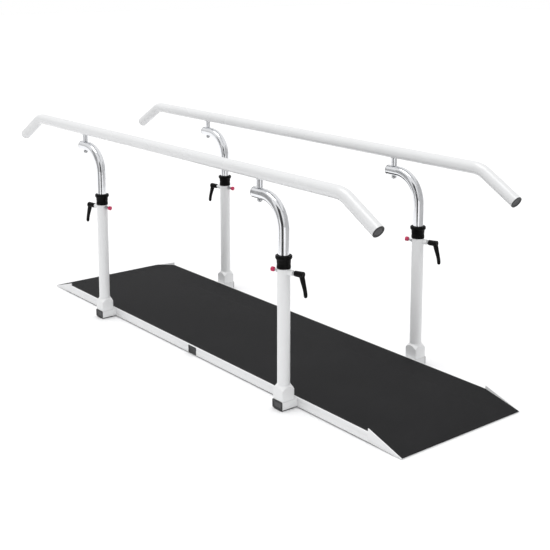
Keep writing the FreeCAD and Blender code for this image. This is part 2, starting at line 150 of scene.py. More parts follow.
def lay(material, relief=None, depth=0.0, **fields):
    """Links fields to the shader's sockets, and a relief of that depth in metres to its normal."""
    surface = material.node_tree.nodes["Principled BSDF"]
    for socket, field in fields.items():
        material.node_tree.links.new(field.socket, surface.inputs[socket.replace("_", " ")])
    if relief:
        bump = relief.node("ShaderNodeBump", {}, {"Height": relief, "Distance": depth}, "Normal")
        material.node_tree.links.new(bump.socket, surface.inputs["Normal"])
    return material


floor_width = 60
bpy.ops.mesh.primitive_plane_add(size=floor_width)
floor = bpy.context.object
floor.name = "floor"
pale, spot = new_finish("pale_floor", Roughness=0.9, Specular_IOR_Level=0.1)
floor_tone = spot.noise(0.3).ramp((0, (0.855, 0.855, 0.86)), (1, (0.865, 0.865, 0.87)))
floor.data.materials.append(lay(pale, Base_Color=floor_tone))

# The room's light is white, and weaker low down. Behind the object it is seen plain white.
room_light = 0.885
room = bpy.data.worlds.new("soft_room")
bpy.context.scene.world = room
room.use_nodes = True
tree = room.node_tree
where = tree.nodes.new("ShaderNodeTexCoord")
light = Field(tree, where.outputs["Generated"]).height().part(-0.2, 0.4).spread(0.45, 1)
glow = tree.nodes["Background"]
tree.links.new(light.socket, glow.inputs["Color"])
glow.inputs["Strength"].default_value = room_light
backdrop = tree.nodes.new("ShaderNodeBackground")
backdrop.inputs["Color"].default_value = (1, 1, 1, 1)
seen = tree.nodes.new("ShaderNodeLightPath")
choice = tree.nodes.new("ShaderNodeMixShader")
tree.links.new(seen.outputs["Is Camera Ray"], choice.inputs["Fac"])
tree.links.new(glow.outputs["Background"], choice.inputs[1])
tree.links.new(backdrop.outputs["Background"], choice.inputs[2])
tree.links.new(choice.outputs["Shader"], tree.nodes["World Output"].inputs["Surface"])

lamp_strength = 1.45
lamp_spread = math.radians(40)
lamp_side = Vector((-0.20, -0.12, 0.97))
bpy.ops.object.light_add(type="SUN", location=(0, -3, 4))
lamp = bpy.context.object
lamp.name = "soft_lamp"
lamp.data.energy = lamp_strength
lamp.data.angle = lamp_spread
lamp.rotation_euler = lamp_side.to_track_quat("Z", "Y").to_euler()

# Four cloth screens face the bars and are never seen: only shiny pieces mirror them.
screen_height = 2.6
screens = ((0.06, 1.41, -1.94, 1.5), (0.40, -0.98, -2.19, 1.7),
           (0.50, 1.5, 1.87, 2.2), (0.52, 2.45, 0.35, 1.7))
for shade, x, y, screen_width in screens:
    bpy.ops.mesh.primitive_plane_add(size=1, location=(x, y, screen_height / 2),
                                     rotation=(math.pi / 2, 0, math.atan2(y, x) + math.pi / 2))
    screen = bpy.context.object
    screen.name = "screen"
    screen.scale = (screen_width, screen_height, 1)
    cloth, spot = new_finish("screen_cloth", Roughness=1.0, Specular_IOR_Level=0.0)
    cloth_grey = (shade, shade, shade)
    weave = spot.noise(2).ramp((0, cloth_grey), (1, cloth_grey))
    screen.data.materials.append(lay(cloth, Base_Color=weave))
    screen.visible_camera = False
    screen.visible_diffuse = False
    screen.visible_shadow = False

# ---- Walking mat -----------------------------------------------------------------------
# One black rubber sheet, finely ribbed lengthwise, glued over the boards and both ramps.
# Its ribs are moulded in, with a plain border along each edge.
mat_thickness = 0.004
mat_border = 0.008
rib_pitch = 0.005
rib_height = 0.0006
rib_side = 0.0005


def select_all(how="SELECT"):
    bpy.ops.mesh.select_all(action=how)


def pick(kind, passes):
    """Selects just the faces, edges or points that pass a test of (middle, direction)."""
    bpy.ops.mesh.select_mode(type=kind)
    select_all("DESELECT")
    mesh = bmesh.from_edit_mesh(bpy.context.object.data)
    for face in mesh.faces if kind == "FACE" else ():
        face.select_set(passes(face.calc_center_median(), face.normal))
    for edge in mesh.edges if kind == "EDGE" else ():
        ends = [v.co for v in edge.verts]
        edge.select_set(passes((ends[0] + ends[1]) / 2, (ends[1] - ends[0]).normalized()))
    for point in mesh.verts if kind == "VERT" else ():
        point.select_set(passes(point.co, point.normal))
    mesh.select_flush_mode()
    bmesh.update_edit_mesh(bpy.context.object.data)


def extrude(x=0.0, y=0.0, z=0.0):
    bpy.ops.mesh.extrude_region_move(TRANSFORM_OT_translate={"value": (x, y, z)})


def begin(primitive, name, **sizes):
    """A new primitive in edit mode, all selected, with everything else deselected."""
    if bpy.context.object and bpy.context.object.mode == "EDIT":
        bpy.ops.object.mode_set(mode="OBJECT")
    bpy.ops.object.select_all(action="DESELECT")
    getattr(bpy.ops.mesh, "primitive_" + primitive + "_add")(**sizes)
    piece = bpy.context.object
    piece.name = name
    bpy.ops.object.transform_apply(location=True, rotation=True, scale=True)
    bpy.ops.object.mode_set(mode="EDIT")
    bpy.ops.mesh.select_mode(type="VERT")
    select_all()
    return piece


def finish_shape(piece, smooth=35, edge=0.0, edge_steps=2):
    """Merges doubles, turns the faces outwards, rounds the sharp edges and leaves edit mode."""
    select_all()
    bpy.ops.mesh.remove_doubles(threshold=0.000005)
    bpy.ops.mesh.normals_make_consistent(inside=False)
    if edge:
        bpy.ops.mesh.select_mode(type="EDGE")
        select_all("DESELECT")
        bpy.ops.mesh.edges_select_sharp(sharpness=math.radians(smooth))
        bpy.ops.mesh.bevel(offset=edge, segments=edge_steps, affect="EDGES", clamp_overlap=True)
    bpy.ops.object.mode_set(mode="OBJECT")
    bpy.ops.object.shade_smooth_by_angle(angle=math.radians(smooth))
    return piece


def coat(piece, finish):
    """Gives a piece one finish all over."""
    piece.data.materials.clear()
    piece.data.materials.append(finish)


rubber, spot = new_finish("ribbed_rubber", Specular_IOR_Level=0.15)
bloom = spot.noise(3.5, 5)
grain = spot.noise(900, 2)
worn = bloom * 0.7 + grain * 0.3
lay(rubber, relief=grain, depth=0.0003,
    Base_Color=worn.ramp((0.3, (0.011, 0.011, 0.012)), (0.7, (0.019, 0.019, 0.020))),
    Roughness=bloom.spread(0.62, 0.8))

low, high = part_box("walking_mat")
half_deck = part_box("side_rail_left")[1].x
ribs = int((high.y - low.y - 2 * mat_border) / rib_pitch)
rows = 2 * ribs + 1
mat = begin("grid", "walking_mat_rubber", size=1, x_subdivisions=3, y_subdivisions=rows,
            location=(0, 0, high.z - rib_height))
bpy.ops.transform.resize(value=(high.x - low.x, (rows + 1) * rib_pitch / 2, 1))
pick("VERT", lambda at, way: abs(at.x) < high.x / 2)
bpy.ops.transform.resize(value=(3 * half_deck / high.x, 1, 1))
edge_line = (rows + 1) * rib_pitch / 4
pick("VERT", lambda at, way: abs(at.y) > edge_line - rib_pitch / 4)
bpy.ops.transform.resize(value=(1, high.y / edge_line, 1))
ramp_drop = high.z - low.z - mat_thickness
pick("VERT", lambda at, way: abs(at.x) > half_deck + 0.01)
bpy.ops.transform.translate(value=(0, 0, -ramp_drop))
select_all()
extrude(z=rib_height - mat_thickness)
select_all()
bpy.ops.mesh.normals_make_consistent(inside=False)
middle_strip = round(high.y / (rib_pitch / 2))


def is_rib(at, way):
    """Every second strip of the top, counted from the middle one."""
    strip = round((at.y + high.y) / (rib_pitch / 2)) - middle_strip
    return way.z > 0.9 and abs(at.y) < ribs * rib_pitch / 2 and strip % 2 == 0


pick("FACE", is_rib)
bpy.ops.mesh.inset(thickness=rib_side, depth=rib_height, use_even_offset=False)
finish_shape(mat, smooth=25)
coat(mat, rubber)
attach(mat, "platform")
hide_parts("walking_mat")

# ---- Posts' places ---------------------------------------------------------------------
# Four posts stand in sockets. The pieces of a post are modelled once, on the axis x = y = 0
# with the lever towards +X, and copied to the four places, the guide bushes' middles.
posts = {}
for node in frame["nodes"]:
    if node.startswith("guide_bush_"):
        low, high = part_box(node)
        middle = (low + high) / 2
        posts[node.removeprefix("guide_bush_")] = Vector((middle.x, middle.y, 0))
lever_joints = [joint for joint in frame["joints"] if joint["name"].startswith("lever_turn_")]
lever_way = {joint["name"].removeprefix("lever_turn_"): Vector(joint["axis"]) for joint in lever_joints}
lever_height = lever_joints[0]["pos_m"][2]


def copy_to_post(master, name, post, turned=False):
    """A copy with its own mesh, moved from the axis to a post, and turned to its lever if asked."""
    piece = master.copy()
    piece.data = master.data.copy()
    piece.name = name + post
    bpy.context.scene.collection.objects.link(piece)
    angle = math.atan2(lever_way[post].y, lever_way[post].x) if turned else 0.0
    piece.data.transform(Matrix.Translation(posts[post]) @ Matrix.Rotation(angle, 4, "Z"))
    return piece


def turned_piece(name, outline, ring=False, sides=64, at=(0, 0)):
    """A lathe-turned piece: a circle drawn up through an outline of (radius, height).
    A ring's outline comes back to its first point, and leaves the middle open."""
    radius, level = outline[0]
    piece = begin("circle", name, vertices=sides, radius=radius, location=(*at, level),
                  fill_type="NOTHING" if ring else "NGON")
    for next_radius, next_level in outline[1:]:
        extrude(z=next_level - level)
        bpy.ops.transform.resize(value=(next_radius / radius, next_radius / radius, 1),
                                 center_override=(*at, next_level))
        radius = next_radius
        level = next_level
    return piece


def rounded_corner(centre, radius, start, stop, steps=4):
    """Points of an outline round a corner, from one angle to another in degrees."""
    turn = math.radians((stop - start) / steps)
    angles = [math.radians(start) + turn * step for step in range(steps + 1)]
    return [(centre[0] + radius * math.cos(a), centre[1] + radius * math.sin(a)) for a in angles]


# ---- Collars ---------------------------------------------------------------------------
# Moulded black nylon guides pressed over each upright. The lip is dished and rounded, and
# sixteen shallow flutes under it give a grip when the collar is pulled off.
nylon, spot = new_finish("moulded_nylon_black", Specular_IOR_Level=0.07)
grain = spot.noise(1400, 2)
flow = spot.stretched(1, 1, 0.3).noise(30, 3)
lay(nylon, relief=grain, depth=0.00012,
    Base_Color=flow.ramp((0.3, (0.002, 0.002, 0.002)), (0.75, (0.005, 0.005, 0.005))),
    Roughness=(flow * 0.6 + grain * 0.4).spread(0.34, 0.52))
low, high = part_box("collar_front_left")
collar_foot = low.z
collar_top = high.z
flange = (high.x - low.x) / 2
upright_radius = 0.025
gooseneck_radius = 0.022
press_fit = upright_radius + 0.0001
slide_fit = gooseneck_radius + 0.0004
skirt = upright_radius + 0.002
waist = flange - 0.0052
pocket = waist - 0.0026
pocket_floor = collar_foot + 0.0200
pocket_roof = collar_foot + 0.0464
outline = [(press_fit, collar_foot), (skirt - 0.0006, collar_foot)]
outline += rounded_corner((skirt - 0.0006, collar_foot + 0.0012), 0.0012, -90, 0, 3)
outline += [(skirt + 0.0006, collar_foot + 0.0075), (waist - 0.0012, collar_foot + 0.0185),
            (waist - 0.0012, pocket_floor), (waist - 0.0004, collar_foot + 0.021),
            (waist, collar_top - 0.020), (waist + 0.0016, collar_top - 0.0155)]
outline += rounded_corner((flange - 0.0042, collar_top - 0.0098), 0.0042, -48, 0, 4)
outline += rounded_corner((flange - 0.0046, collar_top - 0.0046), 0.0046, 0, 90, 6)
outline += [(gooseneck_radius + 0.0034, collar_top - 0.0003),
            (gooseneck_radius + 0.0012, collar_top - 0.0018),
            (slide_fit, collar_top - 0.0030), (slide_fit, pocket_roof + 0.0002),
            (pocket, pocket_roof), (pocket, pocket_floor),
            (press_fit, pocket_floor), (press_fit, collar_foot)]
collar = turned_piece("collar_master", outline, ring=True, sides=96)
flutes = 16


def is_flute(at, way):
    share = math.degrees(math.atan2(at.y, at.x)) * flutes / 360
    outside = math.hypot(at.x, at.y) > waist - 0.0003
    under_lip = pocket_floor + 0.0005 < at.z < collar_top - 0.019
    return outside and under_lip and abs(share - round(share)) < 0.1


pick("VERT", is_flute)
bpy.ops.transform.resize(value=(0.985, 0.985, 1), center_override=(0, 0, collar_top))
finish_shape(collar, smooth=40)
coat(collar, nylon)
for post in posts:
    piece = copy_to_post(collar, "collar_moulding_", post)
    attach(piece, "platform")
    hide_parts("collar_" + post)
bpy.data.objects.remove(collar)

# ---- Uprights --------------------------------------------------------------------------
# Steel tube 50 mm across, powder-coated white. The round boss for the clamp screw is
# welded on below the collar, and its weld shows as a soft fillet under the paint.
powder, spot = new_finish("powder_coat_white", Specular_IOR_Level=0.5)
peel = spot.noise(650, 2)
haze = spot.noise(5, 4)
scuffs = (spot.stretched(1, 1, 5).noise(45, 6, 0.7) > 0.64) * (1 - spot.height().part(0.02, 0.11))
lay(powder, relief=peel, depth=0.00022,
    Base_Color=(haze.spread(0.45, 1) - scuffs * 0.3).ramp(
        (0.1, (0.50, 0.50, 0.49)), (0.45, (0.76, 0.765, 0.77)), (1, (0.80, 0.805, 0.81))),
    Roughness=(haze * 0.5 + scuffs).spread(0.30, 0.55))
boss_radius = 0.011
boss_end = 0.045
screw_bore = 0.0061
sleeve_hole = 0.0071
upright_bore = 0.0223


def combine(piece, tool, how="DIFFERENCE"):
    """Cuts a tool out of a piece, joins it on or keeps what they share, and removes the tool."""
    bpy.context.view_layer.objects.active = piece
    change = piece.modifiers.new("change", "BOOLEAN")
    change.operation = how
    change.object = tool
    change.solver = "EXACT"
    bpy.ops.object.modifier_apply(modifier="change")
    bpy.data.objects.remove(tool)
    return piece


def joined(*shells):
    """One piece made of several closed shells; the first keeps its name."""
    bpy.ops.object.select_all(action="DESELECT")
    for shell in shells:
        shell.select_set(True)
    bpy.context.view_layer.objects.active = shells[0]
    bpy.ops.object.join()
    return shells[0]


def tool_rod(radius, bottom, top, at=(0, 0), sides=64):
    """A plain closed rod along Z that only cuts another piece."""
    rod = begin("cylinder", "tool", vertices=sides, radius=radius, depth=top - bottom,
                location=(*at, (top + bottom) / 2))
    return finish_shape(rod)


def point_out(piece, level, side=1):
    """Lays a piece made along Z at a height, its top towards +X, or -X for a side of -1."""
    piece.data.transform(Matrix.Translation((0, 0, level)) @ Matrix.Rotation(side * math.pi / 2, 4, "Y"))
    return piece


low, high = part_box("upright_front_left")
foot = low.z
upright_top = high.z
below_holes = lever_height - 0.02
above_holes = lever_height + 0.014
outline = [(upright_radius, foot), (upright_radius, below_holes), (upright_radius, above_holes),
           (upright_radius, upright_top - 0.0005), (upright_radius - 0.0005, upright_top),
           (upright_bore + 0.0004, upright_top), (upright_bore, upright_top - 0.0004),
           (upright_bore, above_holes), (upright_bore, below_holes), (upright_bore, foot),
           (upright_radius, foot)]
tube = finish_shape(turned_piece("upright_master", outline, ring=True))
combine(tube, point_out(tool_rod(screw_bore, 0.015, 0.030, sides=48), lever_height))
combine(tube, point_out(tool_rod(sleeve_hole, -0.030, -0.015, sides=48), lever_height))
boss_root = 0.019
weld_foot = boss_radius + 0.0034
outline = [(weld_foot, boss_root), (weld_foot, 0.0212), (boss_radius + 0.0026, 0.0228),
           (boss_radius + 0.0012, 0.0246), (boss_radius + 0.0003, 0.0268), (boss_radius, 0.029),
           (boss_radius, boss_end - 0.001), (boss_radius - 0.001, boss_end),
           (screw_bore + 0.0006, boss_end), (screw_bore, boss_end - 0.0006),
           (screw_bore, boss_root), (weld_foot, boss_root)]
boss = point_out(finish_shape(turned_piece("boss", outline, ring=True, sides=48)), lever_height)
combine(boss, tool_rod(upright_radius - 0.0012, lever_height - 0.03, lever_height + 0.03))
upright = joined(tube, boss)
coat(upright, powder)
bpy.ops.object.shade_smooth_by_angle(angle=math.radians(35))
for post in posts:
    piece = copy_to_post(upright, "upright_tube_", post, turned=True)
    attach(piece, "platform")
    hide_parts("upright_" + post)
bpy.data.objects.remove(upright)

# ---- Post sockets ----------------------------------------------------------------------
# Cast steel blocks welded on the cross tubes. The square foot runs up into a round lip,
# and a weld run with its frozen ripples closes the joint with the upright.
low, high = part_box("post_socket_front_left")
socket_half = (high.x - low.x) / 2
socket_foot = low.z
socket_top = high.z
shoulder = socket_foot + 0.040
lip = upright_radius + 0.0033
socket = begin("cube", "socket_master", size=1, location=(0, 0, (socket_foot + socket_top) / 2),
               scale=(2 * socket_half, 2 * socket_half, socket_top - socket_foot))
pick("EDGE", lambda at, way: abs(way.z) > 0.9)
bpy.ops.mesh.bevel(offset=0.0035, segments=4, affect="EDGES")
finish_shape(socket)
corner = socket_half * math.sqrt(2)
outline = [(corner, socket_foot - 0.001), (corner, shoulder), (lip, socket_top - 0.0012),
           (lip - 0.0012, socket_top + 0.0001)]
combine(socket, finish_shape(turned_piece("tool", outline, sides=96)), "INTERSECT")
combine(socket, tool_rod(press_fit, socket_foot - 0.001, socket_top + 0.001))


def weld_run(name, radius, level, thickness, at=(0, 0), drops=40):
    """A weld run round a tube: a ring that swells at each frozen drop of metal."""
    ring = begin("torus", name, major_radius=radius, minor_radius=thickness, location=(*at, level),
                 major_segments=drops * 3, minor_segments=10)
    drop = 2 * math.pi / drops

    def swells(point, way):
        share = math.atan2(point.y - at[1], point.x - at[0]) / drop
        return abs(share - round(share)) < 0.2

    pick("VERT", swells)
    bpy.ops.transform.resize(value=(1.009, 1.009, 1.25), center_override=(*at, level))
    return finish_shape(ring, smooth=50)


bead = weld_run("bead", upright_radius + 0.0008, socket_top + 0.0002, 0.0017)
socket = joined(socket, bead)
coat(socket, powder)
bpy.ops.object.shade_smooth_by_angle(angle=math.radians(32))
for post in posts:
    piece = copy_to_post(socket, "socket_casting_", post)
    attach(piece, "platform")
    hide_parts("post_socket_" + post)
bpy.data.objects.remove(socket)

# ---- Cross tubes -----------------------------------------------------------------------
# Three rectangular steel tubes carry the deck. They are rolled with rounded corners and
# painted with the rest of the platform.
tube_corner = 0.005
tube_wall = 0.0025
for place in ("front", "middle", "rear"):
    low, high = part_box("cross_tube_" + place)
    bar = begin("cube", "cross_bar_" + place, size=1, location=(low + high) / 2, scale=high - low)
    pick("EDGE", lambda at, way: abs(way.y) > 0.9)
    bpy.ops.mesh.bevel(offset=tube_corner, segments=6, affect="EDGES")
    pick("FACE", lambda at, way: abs(way.y) > 0.9)
    bpy.ops.mesh.delete(type="FACE")
    finish_shape(bar)
    wall = bar.modifiers.new("wall", "SOLIDIFY")
    wall.thickness = tube_wall
    wall.offset = -1
    bpy.ops.object.modifier_apply(modifier="wall")
    coat(bar, powder)
    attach(bar, "platform")
    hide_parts("cross_tube_" + place)

# ---- Tube caps -------------------------------------------------------------------------
# Grey polyethylene caps pushed into the tubes' ends. Each has a raised rim round a sunk
# middle, and a block inside the tube that grips its walls.
grey, spot = new_finish("moulded_grey", Specular_IOR_Level=0.4)
cloud = spot.noise(60, 3)
lay(grey, relief=spot.noise(1100, 2), depth=0.00015,
    Base_Color=cloud.ramp((0.3, (0.018, 0.018, 0.020)), (0.75, (0.030, 0.030, 0.032))),
    Roughness=cloud.spread(0.42, 0.6))
# A second grey for the sunk middles of the caps and plugs: lighter than their rims, rougher, and bumped.
lighter_grey, spot = new_finish("spark_textured_grey", Specular_IOR_Level=0.3)
cloud = spot.noise(45, 3)
lay(lighter_grey, relief=spot.noise(700, 3), depth=0.0004,
    Base_Color=cloud.ramp((0.3, (0.070, 0.070, 0.072)), (0.75, (0.105, 0.105, 0.108))),
    Roughness=cloud.spread(0.7, 0.85))
cap_plate = 0.003
cap_rim = 0.0075
cap_sunk = 0.0016
cap_grip = 0.014


def face_finish(piece, finish, passes):
    """Gives the faces that pass a test a finish of their own."""
    piece.data.materials.append(finish)
    bpy.context.view_layer.objects.active = piece
    bpy.ops.object.mode_set(mode="EDIT")
    pick("FACE", passes)
    piece.active_material_index = len(piece.data.materials) - 1
    bpy.ops.object.material_slot_assign()
    bpy.ops.object.mode_set(mode="OBJECT")


def narrower(wide, tall, margin, middle):
    """Frames the picked end face with a margin, keeping its rounded corners round."""
    extrude()
    bpy.ops.transform.resize(value=(1 - 2 * margin / wide, 1, 1 - 2 * margin / tall),
                             center_override=middle)


caps = []
for place in ("front", "middle", "rear"):
    low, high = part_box("cross_tube_" + place)
    middle = (low + high) / 2
    for side in (1, -1):
        plate = Vector((middle.x, side * (high.y + cap_plate / 2), middle.z))
        wide = high.x - low.x
        tall = high.z - low.z
        cap = begin("cube", "end_caps", size=1, location=plate, scale=(wide, cap_plate, tall))
        pick("EDGE", lambda at, way: abs(way.y) > 0.9)
        bpy.ops.mesh.bevel(offset=tube_corner, segments=6, affect="EDGES")
        pick("FACE", lambda at, way: way.y * side > 0.9)
        narrower(wide, tall, cap_rim, plate)
        extrude(y=-side * cap_sunk)
        bpy.ops.transform.resize(value=(0.95, 1, 0.92), center_override=plate)
        pick("FACE", lambda at, way: way.y * side < -0.9)
        narrower(wide, tall, tube_wall + 0.00015, plate)
        extrude(y=-side * cap_grip)
        bpy.ops.transform.resize(value=(0.97, 1, 0.95), center_override=middle)
        caps.append(finish_shape(cap, edge=0.0003))
caps = joined(*caps)
coat(caps, grey)
# The caps' sunk middles are coloured the lighter grey.
face_finish(caps, lighter_grey, lambda at, way: 0.0008 < abs(at.y) - high.y < 0.002 and abs(way.y) > 0.9)
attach(caps, "platform")
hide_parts("cross_tube_caps")

# ---- Side rails ------------------------------------------------------------------------
# Drawn steel edge rails, painted. A line is rolled along the outer face, a ledge inside
# carries the boards, and three notches let the cross tubes through.
rail_floor = 0.005
ledge_wide = 0.026
ledge_low = 0.018
ledge_high = 0.021
line_low = 0.027
line_high = 0.030
line_depth = 0.0015
top_round = 0.0028
web = 0.004
cross_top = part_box("cross_tube_front")[1].z
for side_name, side in (("left", 1), ("right", -1)):
    low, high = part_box("side_rail_" + side_name)
    outer = max(abs(low.y), abs(high.y)) * side
    inner = outer - side * web
    rail = begin("cube", "edge_rail_" + side_name, size=1,
                 location=(0, (outer + inner) / 2, (rail_floor + high.z) / 2),
                 scale=(high.x - low.x, web, high.z - rail_floor))
    for level in (ledge_low, ledge_high, line_low, line_high):
        select_all()
        bpy.ops.mesh.bisect(plane_co=(0, 0, level), plane_no=(0, 0, 1))
    pick("FACE", lambda at, way: way.y * side < -0.9 and ledge_low < at.z < ledge_high)
    extrude(y=-side * ledge_wide)
    pick("FACE", lambda at, way: way.y * side > 0.9 and line_low < at.z < line_high)
    extrude(y=-side * line_depth)
    bpy.ops.transform.resize(value=(1, 1, 0.5), center_override=(0, 0, (line_low + line_high) / 2))
    pick("EDGE", lambda at, way: (abs(way.x) > 0.9 and at.z > high.z - 0.0001
                                  and at.y * side > outer * side - 0.0001))
    bpy.ops.mesh.bevel(offset=top_round, segments=5, affect="EDGES")
    finish_shape(rail)
    for place in ("front", "middle", "rear"):
        cross_low, cross_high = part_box("cross_tube_" + place)
        notch = begin("cube", "tool", size=1, location=((cross_low.x + cross_high.x) / 2, outer, 0.0),
                      scale=(cross_high.x - cross_low.x, 0.1, 2 * cross_top))
        combine(rail, finish_shape(notch))
    bpy.ops.object.mode_set(mode="EDIT")
    finish_shape(rail, smooth=30, edge=0.0005)
    coat(rail, powder)
    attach(rail, "platform")
    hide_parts("side_rail_" + side_name)

# ---- Ramps -----------------------------------------------------------------------------
# Folded steel sheet, painted. A cheek stands at each side of the slope and keeps a foot
# or a wheel on the mat; a flange and two tabs fix the ramp to the deck.
low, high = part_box("ramp_front")
ramp_start = half_deck
ramp_tip = high.x
half_width = high.y
peak = high.z
sheet = 0.003
tip_low = low.z
tip_high = 0.003
cheek_tip = 0.005
tab_length = 0.040
tab_low = 0.015


def slab(name, x0, x1, y0, y1, z0, z1):
    return begin("cube", name, size=1, location=((x0 + x1) / 2, (y0 + y1) / 2, (z0 + z1) / 2),
                 scale=(x1 - x0, y1 - y0, z1 - z0))


def tip_to(start_z, tip_z):
    """Moves the corners at the ramp's tip from one height to another."""
    pick("VERT", lambda at, way: at.x > ramp_tip - 0.001 and abs(at.z - start_z) < 0.0001)
    bpy.ops.transform.translate(value=(0, 0, tip_z - start_z))


inside = half_width - web
slope = slab("ramp_master", ramp_start, ramp_tip, -inside, inside, cross_top - sheet, cross_top)
tip_to(cross_top - sheet, tip_low)
tip_to(cross_top, tip_high)
shells = [finish_shape(slope, smooth=50, edge=0.0004)]
for side in (1, -1):
    cheek = slab("cheek", ramp_start, ramp_tip, side * half_width, side * inside, rail_floor, peak)
    tip_to(rail_floor, tip_low)
    tip_to(peak, cheek_tip)
    shells.append(finish_shape(cheek, edge=0.0006))
    tab = slab("tab", ramp_start - tab_length, ramp_start + 0.001,
               side * (inside - ledge_wide), side * inside, tab_low - sheet, tab_low)
    shells.append(finish_shape(tab, edge=0.0005))
flange = slab("flange", ramp_start, ramp_start + sheet, -inside, inside, rail_floor, cross_top - sheet)
shells.append(finish_shape(flange, edge=0.0005))
slope = joined(*shells)
coat(slope, powder)
for end, turn in (("front", 0), ("rear", math.pi)):
    piece = slope.copy()
    piece.data = slope.data.copy()
    piece.name = "ramp_plate_" + end
    bpy.context.scene.collection.objects.link(piece)
    piece.data.transform(Matrix.Rotation(turn, 4, "Z"))
    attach(piece, "platform")
    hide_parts("ramp_" + end)
bpy.data.objects.remove(slope)

# ---- Foot pads -------------------------------------------------------------------------
# Soft black rubber pads glued under the cross tubes, with rounded corners and a sunk
# middle underneath, so that the rim grips the floor.
pad_rubber, spot = new_finish("pad_rubber", Specular_IOR_Level=0.3)
cloud = spot.noise(90, 4)
lay(pad_rubber, relief=spot.noise(1300, 2), depth=0.0002,
    Base_Color=cloud.ramp((0.3, (0.018, 0.018, 0.018)), (0.8, (0.036, 0.036, 0.035))),
    Roughness=cloud.spread(0.6, 0.85))
pad_size = (0.050, 0.060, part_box("foot_pads")[1].z)
pad_places = [Vector((0, 0, 0))]
for place, inset in (("front", 0.030), ("rear", 0.030), ("middle", 0.067)):
    low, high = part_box("cross_tube_" + place)
    pad_places += [Vector(((low.x + high.x) / 2, side * (high.y - inset), 0)) for side in (1, -1)]
pads = []
for place in pad_places:
    pad = begin("cube", "rubber_feet", size=1, location=place + Vector((0, 0, pad_size[2] / 2)),
                scale=pad_size)
    pick("EDGE", lambda at, way: abs(way.z) > 0.9)
    bpy.ops.mesh.bevel(offset=0.005, segments=5, affect="EDGES")
    pick("FACE", lambda at, way: way.z < -0.9)
    bpy.ops.mesh.inset(thickness=0.004, depth=0)
    bpy.ops.mesh.inset(thickness=0.0004, depth=-0.0006)
    pads.append(finish_shape(pad, edge=0.0003, edge_steps=1))
pads = joined(*pads)
coat(pads, pad_rubber)
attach(pads, "platform")
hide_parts("foot_pads")

# ---- Goosenecks ------------------------------------------------------------------------
# Chromed steel tube 44 mm across, bent once. Ring grooves on the straight part take the
# index pin at each height, and a welded sleeve lines the hole for the handrail's stud.
chrome, spot = new_finish("polished_chrome", Metallic=1.0)
smear = spot.noise(14, 5)
draw = spot.stretched(1, 1, 0.02).noise(900, 2)
lay(chrome, relief=draw, depth=0.00001,
    Base_Color=smear.ramp((0.3, (0.80, 0.81, 0.83)), (0.8, (0.88, 0.89, 0.91))),
    Roughness=(smear * 0.7 + draw * 0.3).spread(0.08, 0.15))
neck_wall = 0.0035
neck_bend = 0.120
groove_depth = 0.002
groove_half = 0.0035
groove_round = 0.0004
groove_step = 0.025
stud_radius = 0.006
stud_hole = stud_radius + 0.0004
liner_radius = 0.010
liner_half = 0.0192
nut_corner = 0.019 / math.sqrt(3)
low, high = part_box("gooseneck_front_left")
axis = posts["front_left"].x
neck_foot = low.z
arm_height = high.z - gooseneck_radius
arm_end = axis - low.x
pivot_reach = axis - (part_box("pivot_nuts_left")[1].x - nut_corner)
neck = begin("circle", "gooseneck_master", vertices=96, radius=gooseneck_radius,
             location=(0, 0, neck_foot))
extrude()
bore = 1 - neck_wall / gooseneck_radius
bpy.ops.transform.resize(value=(bore, bore, 1), center_override=(0, 0, neck_foot))
select_all()
level = neck_foot
for step in range(-6, 3):
    middle = lever_height + step * groove_step
    for edge in (-groove_half, groove_round - groove_half, groove_half - groove_round, groove_half):
        extrude(z=middle + edge - level)
        level = middle + edge
extrude(z=arm_height - neck_bend - level)
bpy.ops.mesh.spin(steps=32, angle=math.pi / 2, center=(-neck_bend, 0, arm_height - neck_bend),
                  axis=(0, 1, 0))
extrude(x=neck_bend - arm_end)


def in_groove(at, way):
    step = (at.z - lever_height) / groove_step
    low_enough = at.z < lever_height + 2.5 * groove_step
    in_width = abs(step - round(step)) * groove_step < groove_half - groove_round / 2
    return low_enough and in_width and math.hypot(at.x, at.y) > gooseneck_radius - 0.001


pick("VERT", in_groove)
shrink = 1 - groove_depth / gooseneck_radius
bpy.ops.transform.resize(value=(shrink, shrink, 1), center_override=(0, 0, lever_height))
finish_shape(neck, smooth=30)
pivot = (-pivot_reach, 0)
combine(neck, tool_rod(stud_hole, arm_height - 0.03, arm_height + 0.03, at=pivot, sides=48))
liner_foot = arm_height - liner_half
liner_top = arm_height + liner_half
outline = [(liner_radius, liner_foot), (liner_radius, liner_top), (stud_hole, liner_top),
           (stud_hole, liner_foot), (liner_radius, liner_foot)]
liner = finish_shape(turned_piece("liner", outline, ring=True, sides=48, at=pivot))
neck = joined(neck, liner)
coat(neck, chrome)
bpy.ops.object.shade_smooth_by_angle(angle=math.radians(30))
for post in posts:
    piece = copy_to_post(neck, "chrome_neck_", post)
    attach(piece, "gooseneck_" + post)
    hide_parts("gooseneck_" + post)
bpy.data.objects.remove(neck)

# ---- Gooseneck plugs -------------------------------------------------------------------
# Grey moulded plugs tapped into the goosenecks' ends: a domed flange with a sunk centre,
# and a finned insert that holds in the bore.
plug_flange = 0.003
plug_insert = 0.018


